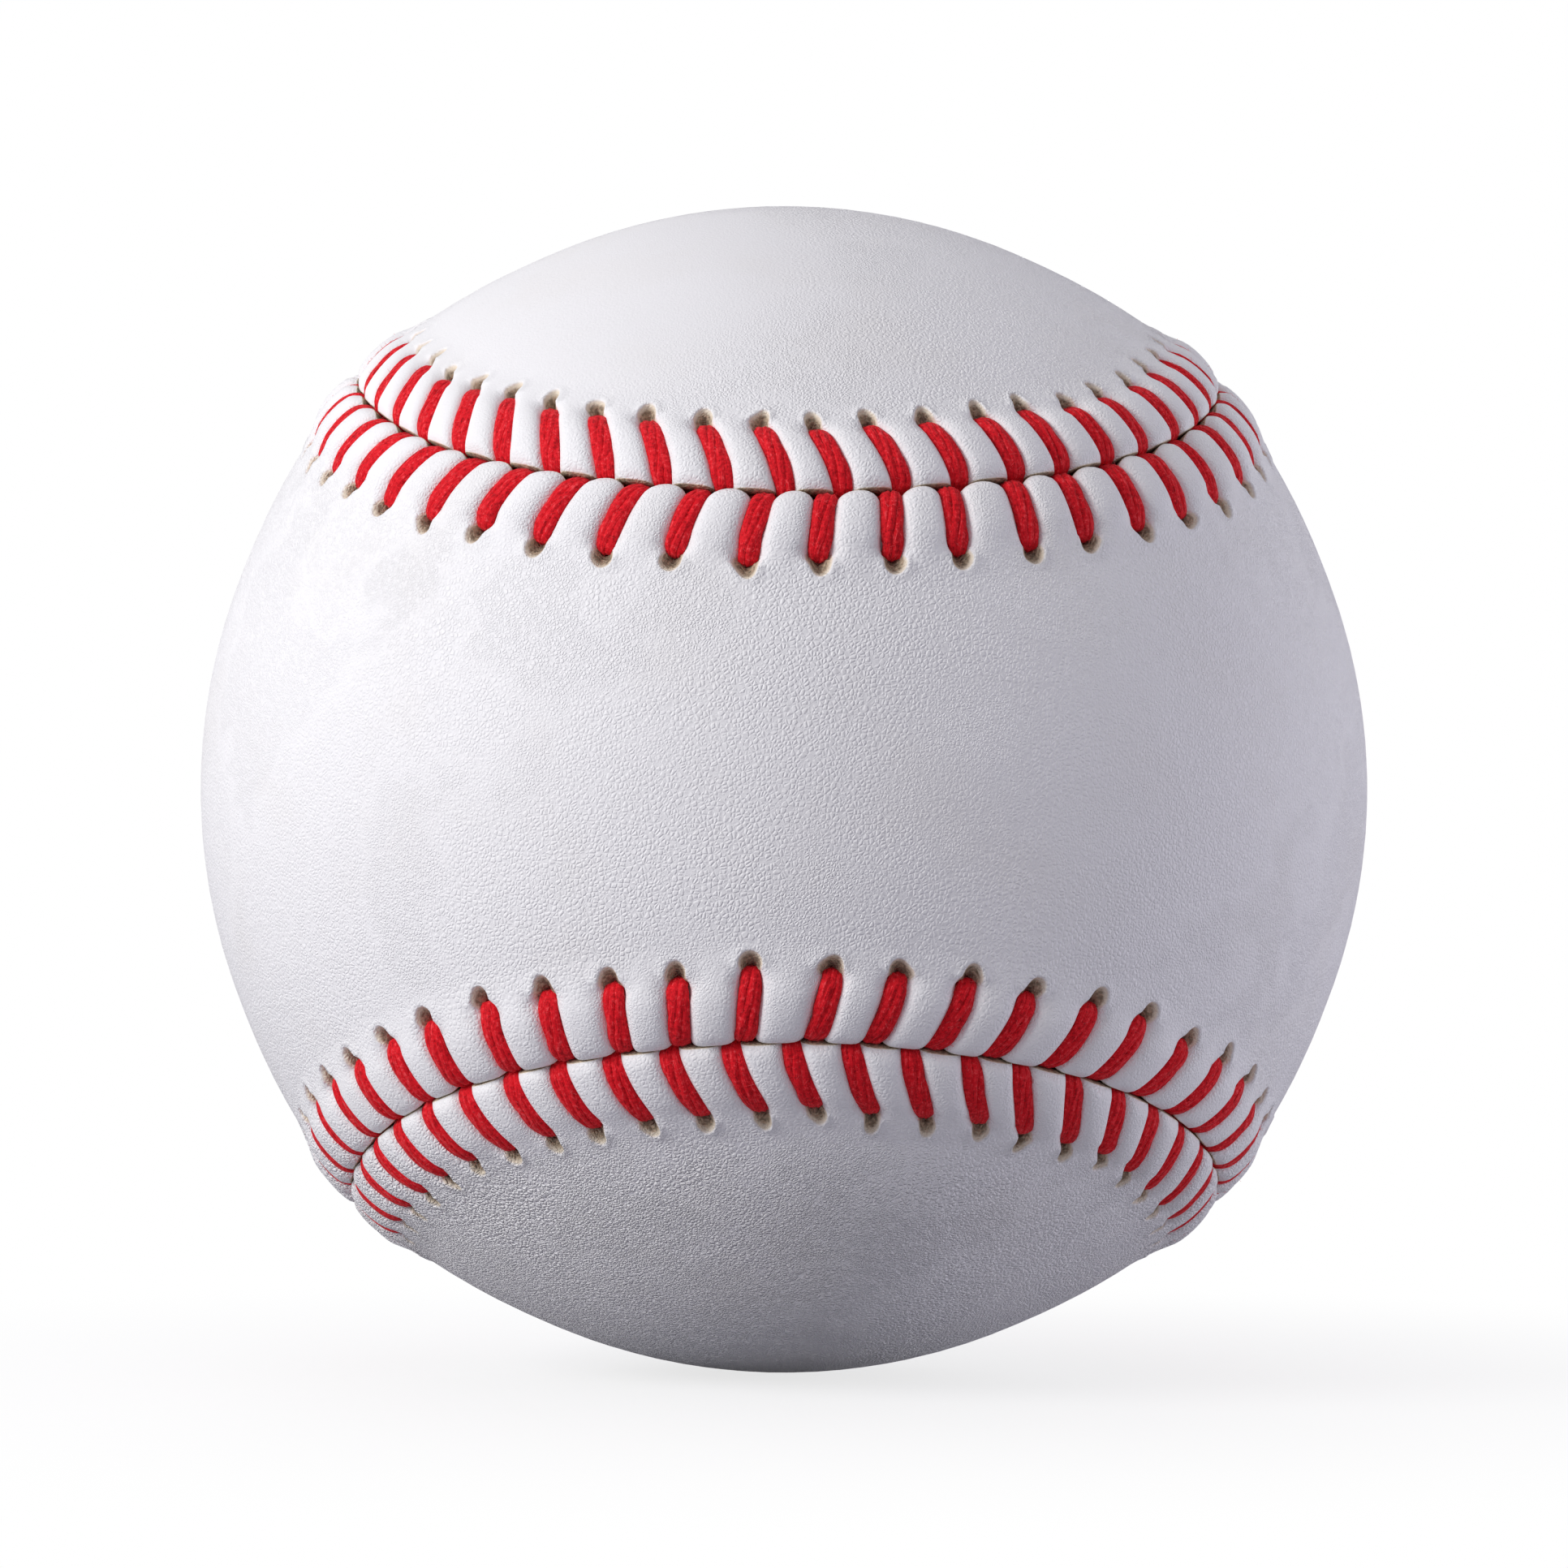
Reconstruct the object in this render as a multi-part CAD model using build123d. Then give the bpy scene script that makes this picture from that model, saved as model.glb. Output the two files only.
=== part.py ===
from build123d import *
import math
import os
from bisect import bisect_right
from collections import namedtuple

# A hand-sewn baseball: a cushioned cork centre, four wound yarn layers, a coat of
# cement and a two-piece leather cover closed by two red threads.
# Millimetres. The origin is the ball's centre and +Z is up. The front panel's waist
# faces -Y, so the seam runs above and below it there.

# Cushioned cork centre
CORK_DIAMETER = 20.6
BLACK_RUBBER_WALL = 4.0
WASHER_THICKNESS = 1.0
RED_RUBBER_WALL = 2.4

# Yarn layers and cement, from the inside out
GREY_INNER_WALL = 14.6
WHITE_WALL = 1.8
GREY_OUTER_WALL = 2.3
COTTON_WALL = 0.5
CEMENT_WALL = 0.1

# Leather cover
LEATHER = 1.2
SEAM_GAP = 0.3
WAIST_WIDTH = 32.1          # over the leather, between the two seams that face each other
LOBE_SWELL = 22.75          # degrees by which the seam swings out round each lobe
LOBE_SQUARENESS = 1.27      # degrees that square the lobe's shoulders

# Stitching
STITCHES = 108
THREAD = 0.8
HOLE_OFFSET = 4.65          # from the seam to a row of holes
FRONT_LEAD = 0.5            # a front-panel stitch meets the seam this far ahead of its hole
CROSSING_GAP = 0.35         # between the two threads where they pass in the seam
FIRST_STITCH = 0.27         # pitches from the middle of the front waist to the first hole
STITCH_DRIFT = 0.35         # pitches gained by the sewing half way round
VALLEY_DEPTH = 0.7          # pressed into the leather by a thread
VALLEY_SLOPE = 0.3          # width of each side wall of that valley
DIVE_OFFSET = 0.85          # from the seam to where a thread turns down into it
HOLE_TURN = 0.06            # inner radius of a thread's turns through its hole
SEAM_BEND = 1.0             # radius of its turns at the seam
CREST_BEND = 3.0            # radius of its arch over the leather

# Clearances round a thread
SIDE_CLEARANCE = 0.1        # beside it, in its valley and its hole
SEAT_CLEARANCE = 0.1        # to the leather below it
FLOOR_CLEARANCE = 0.08      # to the cement below it
NOTCH_CLEARANCE = 0.35      # from its turn at the seam to the leather's edge

# Raised seam: each leather edge arches over the thread beneath it
ARCH_ROOM = 0.3             # height of the arch above that thread's thickness
ARCH_CREST = 2.6            # from the seam to the top of the arch
ARCH_RUNOUT = 0.55          # from a hole's far edge to where the arch meets the ball
CREASE_DEPTH = 0.4          # of the dip along the seam, below the crest

# Radii that follow from the layers
CORK_RADIUS = CORK_DIAMETER / 2
BLACK_RADIUS = CORK_RADIUS + BLACK_RUBBER_WALL
PILL_RADIUS = BLACK_RADIUS + RED_RUBBER_WALL
GREY_INNER_RADIUS = PILL_RADIUS + GREY_INNER_WALL
WHITE_RADIUS = GREY_INNER_RADIUS + WHITE_WALL
GREY_OUTER_RADIUS = WHITE_RADIUS + GREY_OUTER_WALL
COTTON_RADIUS = GREY_OUTER_RADIUS + COTTON_WALL
CEMENT_RADIUS = COTTON_RADIUS + CEMENT_WALL
BALL_RADIUS = CEMENT_RADIUS + LEATHER

# Sizes that follow from the thread
VALLEY_REACH = THREAD / 2 + SIDE_CLEARANCE
HOLE_RADIUS = VALLEY_REACH + VALLEY_SLOPE
HOLE_BEND = THREAD / 2 + HOLE_TURN
HOLE_COLUMN = HOLE_OFFSET - HOLE_RADIUS + VALLEY_REACH + SIDE_CLEARANCE
ARCH_HEIGHT = THREAD + ARCH_ROOM
ARCH_FOOT = HOLE_OFFSET + HOLE_RADIUS + ARCH_RUNOUT
NOTCH_DEPTH = DIVE_OFFSET + NOTCH_CLEARANCE - SEAM_GAP / 2
UNDER = THREAD / 2 + FLOOR_CLEARANCE - LEATHER

# The two sides of the seam, as the sign of a distance across it
BACK = 1
FRONT = -1
LEAD = {FRONT: FRONT_LEAD, BACK: FRONT_LEAD + THREAD + CROSSING_GAP}

# Fineness of the seam's curve and of each edge along it
SEAM_SAMPLES = 2160
EDGE_STEPS = 8


def seam_direction(turn):
    """Unit vector from the centre to the seam; turn goes from 0 to 4 pi once round it."""
    waist_angle = WAIST_WIDTH / 2 / BALL_RADIUS
    polar = math.pi / 2 - (math.pi / 2 - waist_angle) * math.cos(turn)
    swell = math.radians(LOBE_SWELL) * math.sin(2 * turn)
    squareness = math.radians(LOBE_SQUARENESS) * math.sin(4 * turn)
    spin = turn / 2 + swell + squareness
    return Vector(math.sin(polar) * math.sin(spin), -math.cos(polar), math.sin(polar) * math.cos(spin))


def seam_distances():
    """Distance sewn at each sample of the seam, at the ball's surface."""
    points = [seam_direction(4 * math.pi * i / SEAM_SAMPLES) for i in range(SEAM_SAMPLES + 1)]
    distances = [0.0]
    for before, after in zip(points, points[1:]):
        distances.append(distances[-1] + (after - before).length * BALL_RADIUS)
    return distances


DISTANCES = seam_distances()
SEAM_LENGTH = DISTANCES[-1]
PITCH = SEAM_LENGTH / STITCHES
HOLE_SPAN = HOLE_RADIUS / PITCH


def seam_turn(distance):
    """Turn at a distance along the seam."""
    distance = distance % SEAM_LENGTH
    i = min(bisect_right(DISTANCES, distance) - 1, SEAM_SAMPLES - 1)
    share = (distance - DISTANCES[i]) / (DISTANCES[i + 1] - DISTANCES[i])
    return 4 * math.pi * (i + share) / SEAM_SAMPLES


def place(distance, across, height):
    """Point beside the seam: across is positive on the back panel, height is above the ball."""
    turn = seam_turn(distance)
    step = math.pi / SEAM_SAMPLES
    outward = seam_direction(turn)
    along = (seam_direction(turn + step) - seam_direction(turn - step)).normalized()
    sideways = outward.cross(along)
    angle = across / BALL_RADIUS
    direction = outward * math.cos(angle) + sideways * math.sin(angle)
    return direction * (BALL_RADIUS + height)


def sewn(stitch, side, offset):
    """Distance along the seam of a stitch's line, at an offset from the seam on one panel."""
    drift = STITCH_DRIFT * math.sin(math.pi * stitch / STITCHES) ** 2
    lead = LEAD[side] * max(0.0, 1 - offset / HOLE_OFFSET)
    return PITCH * (stitch + FIRST_STITCH + drift) + lead


def arch_height(offset):
    """Height of the leather's arch above the ball, at an offset from the seam."""
    from_crest = offset - ARCH_CREST
    if from_crest < 0:
        return ARCH_HEIGHT - CREASE_DEPTH * (from_crest / ARCH_CREST) ** 2
    return ARCH_HEIGHT * (1 - (from_crest / (ARCH_FOOT - ARCH_CREST)) ** 2)


def plateau(distance, reach):
    """1 within reach of the middle, falling smoothly to 0 over a valley's slope beyond it."""
    share = min(max((abs(distance) - reach) / VALLEY_SLOPE, 0.0), 1.0)
    return 1 - share * share * (3 - 2 * share)


def wrapped(phase):
    """A phase in pitches, brought between -0.5 and 0.5."""
    return phase - round(phase)


def valley(phase):
    """Depth of the thread's valley in the leather, by the phase from its stitch."""
    return VALLEY_DEPTH * plateau(wrapped(phase) * PITCH, VALLEY_REACH)


def smooth(phase):
    """Depth of the valley where the leather has none."""
    return 0.0


def edge_offset(phase, side):
    """Distance of the leather's edge from the seam: tongues between notches for the threads."""
    own = LEAD[side] * (1 - DIVE_OFFSET / HOLE_OFFSET)
    between = LEAD[-side] - own
    from_middle = wrapped(phase - between / 2 / PITCH) * PITCH
    return SEAM_GAP / 2 + NOTCH_DEPTH * plateau(from_middle, abs(between) / 2 + VALLEY_REACH)


def hole_reach(phase):
    """Half of a hole's length across the seam, by the phase from its stitch, or 0 between holes."""
    return math.sqrt(max(0.0, HOLE_RADIUS ** 2 - (wrapped(phase) * PITCH) ** 2))


def rail(side, offset_at, dent_at, drop):
    """Edges of one line along the seam, two a stitch: past its hole and on to the next one.

    offset_at and dent_at give the line's offset and the leather's dent at a phase, and
    drop is how far the line lies below the outer face.
    """
    past = [-HOLE_SPAN * math.cos(math.pi * i / EDGE_STEPS) for i in range(EDGE_STEPS + 1)]
    onward = [HOLE_SPAN + (1 - 2 * HOLE_SPAN) * i / EDGE_STEPS for i in range(EDGE_STEPS + 1)]
    edges = []
    for stitch in range(STITCHES):
        for phases in (past, onward):
            points = []
            for phase in phases:
                offset = offset_at(phase)
                height = arch_height(offset) - dent_at(phase) - drop
                points.append(place(sewn(stitch + phase, side, offset), side * offset, height))
            edges.append(Spline(*points))
    return edges


PanelLines = namedtuple("PanelLines", "edge crest hole_near hole_far foot")


def panel_lines(side, dent_at, drop):
    """Lines along one face of a panel, from its edge out to the foot of its arch."""
    return PanelLines(
        edge=rail(side, lambda phase: edge_offset(phase, side), dent_at, drop),
        crest=rail(side, lambda phase: ARCH_CREST, dent_at, drop),
        hole_near=rail(side, lambda phase: HOLE_OFFSET - hole_reach(phase), dent_at, drop),
        hole_far=rail(side, lambda phase: HOLE_OFFSET + hole_reach(phase), smooth, drop),
        foot=rail(side, lambda phase: ARCH_FOOT, smooth, drop),
    )


def strip(one, other):
    """Ruled faces between two lines along the seam."""
    return [Face.make_surface_from_curves(a, b) for a, b in zip(one, other)]


def ball_patch(side, radius, edges):
    """Part of a sphere that one panel covers, inside its line of edges."""
    turns = {FRONT: Rot(0, 90, 0) * Rot(0, 0, 270), BACK: Rot(0, 0, 90)}
    sphere = (turns[side] * Sphere(radius)).faces()[0]
    return sphere.make_holes([Wire(edges)])


def cover_panel(side):
    """One leather panel: thread valleys and tongues along its edge, and a hole for each stitch."""
    outer = panel_lines(side, valley, 0)
    inner = panel_lines(side, smooth, LEATHER)
    faces = [ball_patch(side, BALL_RADIUS, outer.foot), ball_patch(side, CEMENT_RADIUS, inner.foot)]
    for lines in (outer, inner):
        faces += strip(lines.edge, lines.crest)
        faces += strip(lines.crest, lines.hole_near)
        faces += strip(lines.hole_far, lines.foot)
    faces += strip(outer.edge, inner.edge)
    faces += strip(outer.hole_near[::2], inner.hole_near[::2])
    faces += strip(outer.hole_far[::2], inner.hole_far[::2])
    return Solid(Shell(faces))


def over(offset):
    """Height of a thread's middle where it lies in its valley."""
    return arch_height(offset) - VALLEY_DEPTH + THREAD / 2 + SEAT_CLEARANCE


def stitch_corners(stitch, side):
    """One stitch: under the leather from the seam, up its hole and back over to the seam."""
    enter = sewn(stitch - 1, -side, 0)
    hole = sewn(stitch, side, HOLE_COLUMN)
    crest = sewn(stitch, side, ARCH_CREST)
    dive = sewn(stitch, side, DIVE_OFFSET)
    return [
        (place(enter, side * DIVE_OFFSET, UNDER), SEAM_BEND),
        (place(hole, side * HOLE_COLUMN, UNDER), HOLE_BEND),
        (place(hole, side * HOLE_COLUMN, over(HOLE_COLUMN)), HOLE_BEND),
        (place(crest, side * ARCH_CREST, over(ARCH_CREST)), CREST_BEND),
        (place(dive, side * DIVE_OFFSET, over(DIVE_OFFSET)), SEAM_BEND),
    ]


def rounded_path(corners):
    """Straight runs joined by tangent arcs, one at each corner but the two ends."""
    points = [point for point, radius in corners]
    edges = []
    start = points[0]
    for before, (corner, radius), after in zip(points, corners[1:-1], points[2:]):
        back = (before - corner).normalized()
        onward = (after - corner).normalized()
        half_turn = (math.pi - math.acos(back.dot(onward))) / 2
        reach = radius * math.tan(half_turn)
        middle = corner + (back + onward).normalized() * radius * (1 / math.cos(half_turn) - 1)
        edges.append(Edge.make_line(start, corner + back * reach))
        edges.append(Edge.make_three_point_arc(corner + back * reach, middle, corner + onward * reach))
        start = corner + onward * reach
    edges.append(Edge.make_line(start, points[-1]))
    return Wire(edges)


def stitch_thread(first_side):
    """One needle's thread: stitches on alternate panels, with both ends left in the seam."""
    corners = []
    side = first_side
    for stitch in range(STITCHES):
        corners += stitch_corners(stitch, side)
        side = -side
    last = STITCHES - 1
    corners.append((place(sewn(last, -side, 0), 0, (over(DIVE_OFFSET) + UNDER) / 2), 0))
    path = rounded_path(corners)
    start = Plane(origin=corners[0][0], z_dir=corners[1][0] - corners[0][0])
    print("thread length", round(path.length, 1))
    return Solid.sweep(Face(Wire.make_circle(THREAD / 2, start)), path)


def hollow_ball(inner, outer):
    """Wall between two spheres."""
    return Sphere(outer) - Sphere(inner)


def half_shells(inner, outer, axis, gap):
    """Two halves of a hollow ball, above and below a gap square to the axis."""
    shell = hollow_ball(inner, outer)
    halves = []
    for sign in (1, -1):
        plane = Plane(origin=axis * (sign * gap / 2), z_dir=axis * sign)
        halves.append(split(shell, bisect_by=plane, keep=Keep.TOP))
    return halves


def build_nodes():
    """Every piece of the ball, by the name of its node."""
    black = half_shells(CORK_RADIUS, BLACK_RADIUS, Vector(0, 0, 1), WASHER_THICKNESS)
    red = half_shells(BLACK_RADIUS, PILL_RADIUS, Vector(1, 0, 0), 0)
    washer_blank = Cylinder(BLACK_RADIUS, WASHER_THICKNESS) - Sphere(CORK_RADIUS)
    return {
        "cork_centre": Sphere(CORK_RADIUS),
        "black_rubber_half_upper": black[0],
        "black_rubber_half_lower": black[1],
        "red_rubber_washer": washer_blank & Sphere(BLACK_RADIUS),
        "red_rubber_half_right": red[0],
        "red_rubber_half_left": red[1],
        "grey_wool_winding_inner": hollow_ball(PILL_RADIUS, GREY_INNER_RADIUS),
        "white_wool_winding": hollow_ball(GREY_INNER_RADIUS, WHITE_RADIUS),
        "grey_wool_winding_outer": hollow_ball(WHITE_RADIUS, GREY_OUTER_RADIUS),
        "cotton_winding": hollow_ball(GREY_OUTER_RADIUS, COTTON_RADIUS),
        "cement_coat": hollow_ball(COTTON_RADIUS, CEMENT_RADIUS),
        "cover_panel_front": cover_panel(FRONT),
        "cover_panel_back": cover_panel(BACK),
        "stitch_thread_first": stitch_thread(BACK),
        "stitch_thread_second": stitch_thread(FRONT),
    }


os.makedirs("parts", exist_ok=True)
for name, piece in build_nodes().items():
    export_step(piece, f"parts/{name}.step")
print("ball diameter", round(2 * BALL_RADIUS, 2), "stitch pitch", round(PITCH, 3))
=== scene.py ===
import math

import bpy
import numpy as np
from bpy.props import FloatProperty, FloatVectorProperty, IntProperty, PointerProperty
from mathutils import Matrix, Vector
from mathutils.geometry import delaunay_2d_cdt


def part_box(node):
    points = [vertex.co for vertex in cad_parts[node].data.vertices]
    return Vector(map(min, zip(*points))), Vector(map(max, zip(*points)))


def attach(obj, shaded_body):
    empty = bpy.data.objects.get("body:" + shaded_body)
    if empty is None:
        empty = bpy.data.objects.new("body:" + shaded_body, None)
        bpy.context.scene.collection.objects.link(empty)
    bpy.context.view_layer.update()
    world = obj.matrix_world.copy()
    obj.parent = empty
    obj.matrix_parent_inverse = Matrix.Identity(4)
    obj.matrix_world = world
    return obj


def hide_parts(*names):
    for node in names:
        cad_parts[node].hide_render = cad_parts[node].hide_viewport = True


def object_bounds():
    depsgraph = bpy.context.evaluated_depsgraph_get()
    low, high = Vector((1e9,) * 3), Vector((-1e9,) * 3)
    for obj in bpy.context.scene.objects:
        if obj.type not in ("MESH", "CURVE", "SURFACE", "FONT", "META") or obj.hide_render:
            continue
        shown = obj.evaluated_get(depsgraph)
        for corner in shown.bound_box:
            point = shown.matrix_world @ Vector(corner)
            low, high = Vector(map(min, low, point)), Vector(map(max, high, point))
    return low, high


bl_info = {
    "name": "Stitched baseball",
    "version": (1, 0, 0),
    "blender": (4, 5, 0),
    "location": "View3D > Sidebar > Baseball",
    "description": "Dresses the solids of a baseball in grained leather and twisted red thread",
    "category": "Object",
}

# The fixed frame, and the sizes that come from it
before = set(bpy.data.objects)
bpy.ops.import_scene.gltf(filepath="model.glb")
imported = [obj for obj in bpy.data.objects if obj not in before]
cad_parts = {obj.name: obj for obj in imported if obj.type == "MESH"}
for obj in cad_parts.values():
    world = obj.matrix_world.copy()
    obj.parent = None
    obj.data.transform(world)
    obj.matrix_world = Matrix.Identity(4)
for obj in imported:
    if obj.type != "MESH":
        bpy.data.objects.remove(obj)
CAD_BOX = [list(corner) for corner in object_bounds()]
BALL_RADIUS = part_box("cover_panel_front")[1].x
CEMENT_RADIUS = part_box("cement_coat")[1].x
LEATHER = BALL_RADIUS - CEMENT_RADIUS
MM = 0.001

# The two sides of the seam, as the sign of a distance across it
BACK = 1
FRONT = -1
PANELS = {FRONT: "cover_panel_front", BACK: "cover_panel_back"}
THREADS = {BACK: "stitch_thread_first", FRONT: "stitch_thread_second"}

# Bends of the seam: one round each end of the two panels
SEAM_BENDS = 4

# Fineness of the meshes
SEAM_SAMPLES = 4320
HOLE_SIDES = 24
FIELD_SPACING = 1.5 * MM
FIELD_CLEAR = 0.6 * FIELD_SPACING
PLY_SIDES = 6
PLY_STEPS = 2
FIBRE_SIDES = 3
FIBRE_STEPS = 4

# Places in a stitch's cell: columns either side of the thread and rows from the cut edge in mm, rings
# as shares of the hole's size, and the rows past the hole with the parts that each is cut into
CELL_COLUMNS = (0.0, 0.25, 0.5, 0.64, 0.8, 1.0, 1.3, 1.6)
PAD_ROWS = (0.0, 0.07, 0.18, 0.35, 0.6, 0.95, 1.4, 1.9, 2.4, 2.9, 3.3)
HOLE_ROWS = (3.8, 4.35, 4.9, 5.45)
HOLE_ROW_PHASE = 0.37
HOLE_RINGS = (1.0, 1.08, 1.22, 1.5)
FOOT_ROW_PARTS = {6.0: 8, 6.7: 6, 7.4: 5}

# Unevenness left by hand sewing
HOLE_NUDGE = 0.14 * MM
ALONG_NUDGE = 0.13 * MM
PAD_UNEVENNESS = 0.22
TIP_NUDGE = 0.05 * MM
HOLE_WAVES = ((2, 0.12), (3, 0.09))     # waves round a hole's rim, and their share of its size
UNEVEN_REACH = 2.3                      # hole sizes from its middle to where the leather lies even

# How sharply a thread bends between its hole and the seam
BACK_BEND, FRONT_BEND = 1.5, 1.4

# A thread over its pad: offsets from the seam in mm, and lifts as shares of half its height
OVER_PAD = ((3.5, 0.82), (3.05, 0.82), (2.5, 0.82), (1.95, 0.82), (1.4, 0.82), (0.9, 0.7))
THREAD_CLEAR = 0.05 * MM
THREAD_DRAWN = 0.5 * MM

# Leather round a hole: reaches and places are shares of the hole's size
FUNNEL_SCALE = 0.25
FUNNEL_REACH = 0.7
FUNNEL_SHIFT = 0.4 * MM
DIMPLE_DEPTH, DIMPLE_REACH = 0.07 * MM, 0.45
RIM_DEPTH, RIM_REACH = 0.12 * MM, 0.06
LIP_HEIGHT, LIP_PLACE, LIP_REACH = 0.11 * MM, 0.22, 0.14
DRAWN_UP = 0.45 * LEATHER
DRAWN_REACH = 1.7
LEAST_LEATHER = 0.4 * LEATHER

# Pads: the roundness and depth of their tips, and how they fade towards the holes and the seam
BACK_TIP_POWER, BACK_TIP_DEPTH = 4.5, 0.5 * MM
FRONT_TIP_POWER, FRONT_TIP_DEPTH = 3.0, 0.85 * MM
FRONT_TIP_SWING = 0.3 * MM
TIP_VALLEY = 0.3                        # half widths here and below are shares of the thread's width
TIP_BLEND = 1.8 * MM
VALLEY_HALF = 0.34
VALLEY_RUNOUT, VALLEY_FADE = 0.25 * MM, 0.9 * MM
PAD_SQUARENESS = 5
PAD_FADE, PAD_RISE, PAD_EDGE = 1.6 * MM, 0.9 * MM, 0.25
ROLL_REACH = 0.55 * MM
CREASE_POWER = 2.2

# Raw leather that shows on the outer face, at the rim of a hole and at the cut edge
RAW_RIM, RAW_RIM_REACH = 0.4, 0.1
RAW_CUT, RAW_CUT_REACH = 0.6, 0.05 * MM

# Strength of the grain: weaker on the pads and far out, rubbed smooth round one direction from the
# centre, stronger low on the ball, and coarsest there round another direction
PAD_GRAIN, PAD_GRAIN_FROM, PAD_GRAIN_RISE = 0.7, 4.0 * MM, 2.2 * MM
FIELD_LOSS, FIELD_LOSS_FROM, FIELD_LOSS_RISE = 0.2, 9 * MM, 7 * MM
RUBBED_SPOT = np.array([-0.37, -0.48, 0.795])
RUBBED_LOSS, RUBBED_FROM, RUBBED_RISE = 0.8, 0.87, 0.1
COARSE_SPOT = np.array([-0.36, -0.58, -0.73])
COARSE_GAIN, COARSE_FROM, COARSE_RISE = 3.0, 0.7, 0.2
LOW_GAIN, LOW_FROM, LOW_RISE = 1.2, 0.52, 0.2

# Thread: a ply's radius as a share of the thread's height, and how far its turns wander along it
PLY_RADIUS = 0.41
PLY_WANDER, WANDER_PACE, WANDER_APART = 0.3, 420.0, 40.0
PLY_RUN_APART = 0.05

# Loose fibres: number to the square metre, shares of a fibre's length, and how they stand
FUZZ_DENSITY = 3.2e6
FUZZ_THICKNESS, FUZZ_LEAST = 0.022, 0.35
FUZZ_BEND, FUZZ_END = (0.4, 0.0, 0.3), (1.0, 0.0, 0.34)
FUZZ_FACING, FUZZ_TILT = 0.25, 0.3

# Patterns of the finishes, in repeats to the metre, and how deep they go
PATCHES, WAVES, STAINS = 95.0, 70.0, 120.0
LARGE_PEBBLES, SMALL_PEBBLES = 3800.0, 4900.0
PORES, MOTTLE = 3000.0, 4200.0
FIBRES_ACROSS, FIBRES_ALONG, SPECKS, FUZZ_HIGHLIGHT_PATCHES = 11000.0, 1300.0, 4600.0, 1800.0
GRANULES, CORK_PORES = 520.0, 1500.0
BLOOM, MOULD_GRAIN = 240.0, 2600.0
WOOL_STRANDS, COTTON_STRANDS, FLUFF = 260.0, 420.0, 3200.0
BRUSH_MARKS, RIDGES = 420.0, 260.0
FLOOR_SPECKLE = 40.0
PEBBLE_DEPTH, WAVE_DEPTH, FIBRE_DEPTH = 0.042 * MM, 0.15 * MM, 0.14 * MM
GRANULE_DEPTH, MOULD_DEPTH, STRAND_DEPTH, RIDGE_DEPTH = 0.2 * MM, 0.04 * MM, 0.3 * MM, 0.15 * MM
PEBBLE_TURN, PEBBLE_STRETCH = math.radians(40), 1.1

# Colours inside the ball
CORK_DARK, CORK_PALE, CORK_PORE = (0.42, 0.26, 0.13), (0.7, 0.5, 0.31), (0.12, 0.06, 0.03)
RED_RUBBER, BLACK_RUBBER = (0.42, 0.05, 0.04), (0.03, 0.03, 0.032)
GREY_WOOL, WHITE_WOOL, COTTON = (0.4, 0.39, 0.38), (0.78, 0.75, 0.68), (0.8, 0.77, 0.7)
CEMENT_THIN, CEMENT_THICK = (0.5, 0.41, 0.28), (0.76, 0.67, 0.5)

# Studio: lamps as azimuth and elevation in degrees, distance and size in ball radii, level, colour
LAMPS = {
    "key": (-58, 22, 9.0, 4.5, 0.66, (1.0, 0.995, 0.985)),
    "fill": (95, -3, 10.0, 3.0, 0.34, (0.88, 0.86, 1.0)),
    "back": (176, 8, 10.0, 4.0, 0.3, (0.97, 0.96, 1.0)),
}
WHITE = (1.0, 1.0, 1.0)
AMBIENT_LEVEL = 0.45
AMBIENT_COLOUR = (0.92, 0.9, 1.0)
FLOOR_REACH = 60 * BALL_RADIUS
CAMERA_PLACE = (-1.3, -2.2, 8 * BALL_RADIUS)
CAMERA_TARGET = (0, 0, 0.34 * MM)
CAMERA_ROLL = math.radians(0.25)
CAMERA_LENS, SENSOR_WIDTH = 106.3, 36.0


def a_length(name, description, millimetres):
    return FloatProperty(name=name, description=description, default=millimetres * MM, unit="LENGTH")


def an_angle(name, description, degrees):
    return FloatProperty(
        name=name, description=description, default=math.radians(degrees), subtype="ANGLE")


def a_colour(name, description, default):
    return FloatVectorProperty(
        name=name, description=description, default=default, subtype="COLOR", size=3)


class SeamSizes(bpy.types.PropertyGroup):
    """Shape of the seam and of the leather beside it"""

    waist: a_length("Waist width", "Over the leather, between two facing seams", 32.1)
    swell: an_angle("Lobe swell", "How far the seam swings out round each lobe", 22.75)
    squareness: an_angle("Lobe squareness", "Squares the shoulders of each lobe", 1.27)
    gap: a_length("Seam gap", "Between the two leather edges at the tips of their pads", 0.02)
    arch: a_length("Arch height", "Of the raised seam above the plain ball", 0.95)
    crest: a_length("Crest offset", "From the seam to the top of the arch", 2.1)
    foot: a_length("Foot offset", "From the seam to the foot of the arch", 6.4)
    shoulder: a_length("Shoulder height", "Of the low rise that runs out from the arch", 0.4)
    shoulder_reach: a_length("Shoulder reach", "From the seam to the end of that rise", 15.0)
    crease: a_length("Crease depth", "Of the dip along the seam, below the crest", 0.32)
    puff: a_length("Pad puff", "How far each pad between two stitches swells", 0.16)
    roll: a_length("Edge roll", "How far a pad's cut edge rolls down into the seam", 0.18)


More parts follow.
